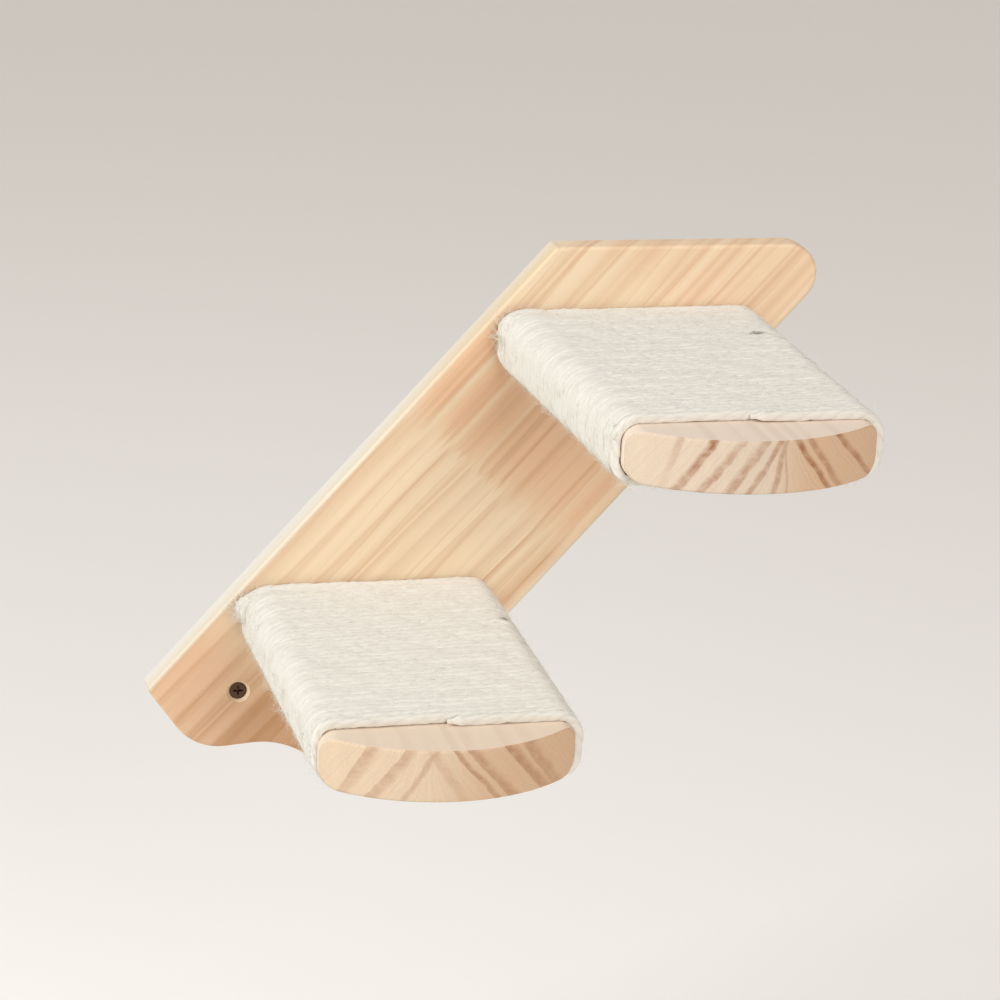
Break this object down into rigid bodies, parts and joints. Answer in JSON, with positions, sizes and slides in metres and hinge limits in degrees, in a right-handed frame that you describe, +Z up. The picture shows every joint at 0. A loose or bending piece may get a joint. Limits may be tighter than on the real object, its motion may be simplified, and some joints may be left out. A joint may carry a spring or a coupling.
{
  "type": "cat wall shelf",
  "caption": "Slanted pine backboard for a wall, with rope-wound pine steps that stand out from it for a cat to climb and rest on.",
  "frame": {"origin": "midway between the two wall screws, on the wall plane at the back of the board", "axes": "+Z up, +X to the right along the wall as seen from the room, +Y into the wall"},
  "size_m": [0.3716, 0.2985, 0.3031],
  "materials": {
    "pine_board": "satin",
    "pine_step": "satin",
    "rope": "matte",
    "step_screw_steel": "satin",
    "staple_steel": "satin",
    "beech": "matte",
    "dark_screw": "satin"
  },
  "bodies": {
    "root": {"backboard": "pine_board", "upper_step_plank": "pine_step", "upper_step_rope": "rope", "lower_step_plank": "pine_step", "lower_step_rope": "rope", "upper_step_screw_left": "step_screw_steel", "upper_step_screw_middle": "step_screw_steel", "upper_step_screw_right": "step_screw_steel", "lower_step_screw_left": "step_screw_steel", "lower_step_screw_middle": "step_screw_steel", "lower_step_screw_right": "step_screw_steel", "upper_step_dowel_left": "beech", "upper_step_dowel_right": "beech", "lower_step_dowel_left": "beech", "lower_step_dowel_right": "beech", "upper_step_staple_rear": "staple_steel", "upper_step_staple_front": "staple_steel", "lower_step_staple_rear": "staple_steel", "lower_step_staple_front": "staple_steel", "wall_screw_upper": "dark_screw", "wall_screw_lower": "dark_screw"}
  },
  "joints": []
}
